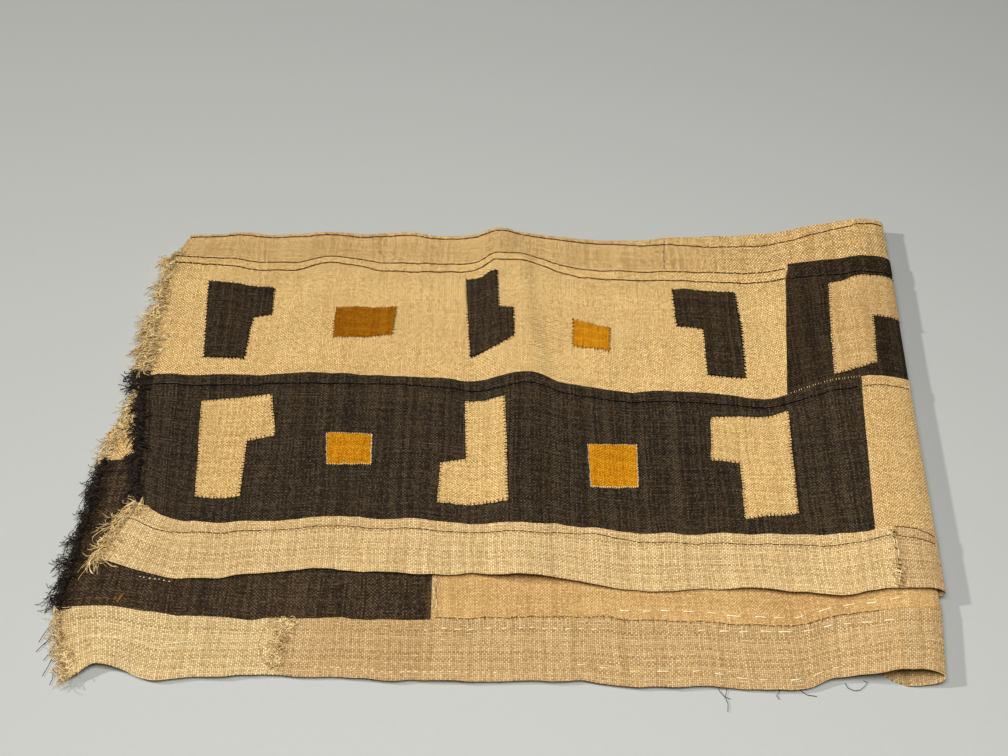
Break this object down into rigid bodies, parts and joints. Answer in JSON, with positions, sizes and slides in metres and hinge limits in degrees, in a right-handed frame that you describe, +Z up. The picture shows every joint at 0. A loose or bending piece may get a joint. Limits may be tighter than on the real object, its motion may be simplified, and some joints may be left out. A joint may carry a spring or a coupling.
{
  "type": "kuba raffia cloth",
  "caption": "Long raffia cloth of cream and dark sewn panels with applied shapes and fringed ends, folded twice and lying flat.",
  "frame": {"origin": "bottom centre of the folded cloth with its fringes, on the surface that it lies on", "axes": "+X along the cloth towards its outer fold, +Y across it towards its back edge, +Z up"},
  "size_m": [1.2411, 0.844, 0.0313],
  "materials": {
    "cream": "matt undyed raffia, plain weave",
    "dark": "matt raffia dyed brown-black",
    "orange": "matt raffia dyed orange",
    "brown_orange": "matt raffia dyed brown-orange"
  },
  "bodies": {
    "root": {"panel_A1_cream": "cream", "panel_A2_cream": "cream", "panel_B1_cream": "cream", "panel_B2_dark": "dark", "panel_B3_cream": "cream", "panel_B4_dark": "dark", "panel_B5_cream": "cream", "panel_C1_dark": "dark", "panel_C2_cream": "cream", "panel_C3_dark": "dark", "panel_C4_cream": "cream", "panel_C5_dark": "dark", "panel_D1_cream": "cream", "panel_D2_cream": "cream", "panel_D3_cream": "cream", "patch_dark_gamma": "dark", "patch_brown_rectangle": "brown_orange", "patch_dark_l": "dark", "patch_orange_rectangle": "orange", "patch_dark_seven": "dark", "patch_fold_gamma": "cream", "patch_cream_gamma": "cream", "patch_orange_square_left": "orange", "patch_cream_j": "cream", "patch_orange_square_right": "orange", "patch_cream_seven": "cream", "fringe_top_B": "cream", "fringe_top_C": "dark", "fringe_top_D": "cream", "fringe_lower_B": "cream", "fringe_lower_C": "dark", "fringe_lower_D": "cream"}
  },
  "joints": []
}
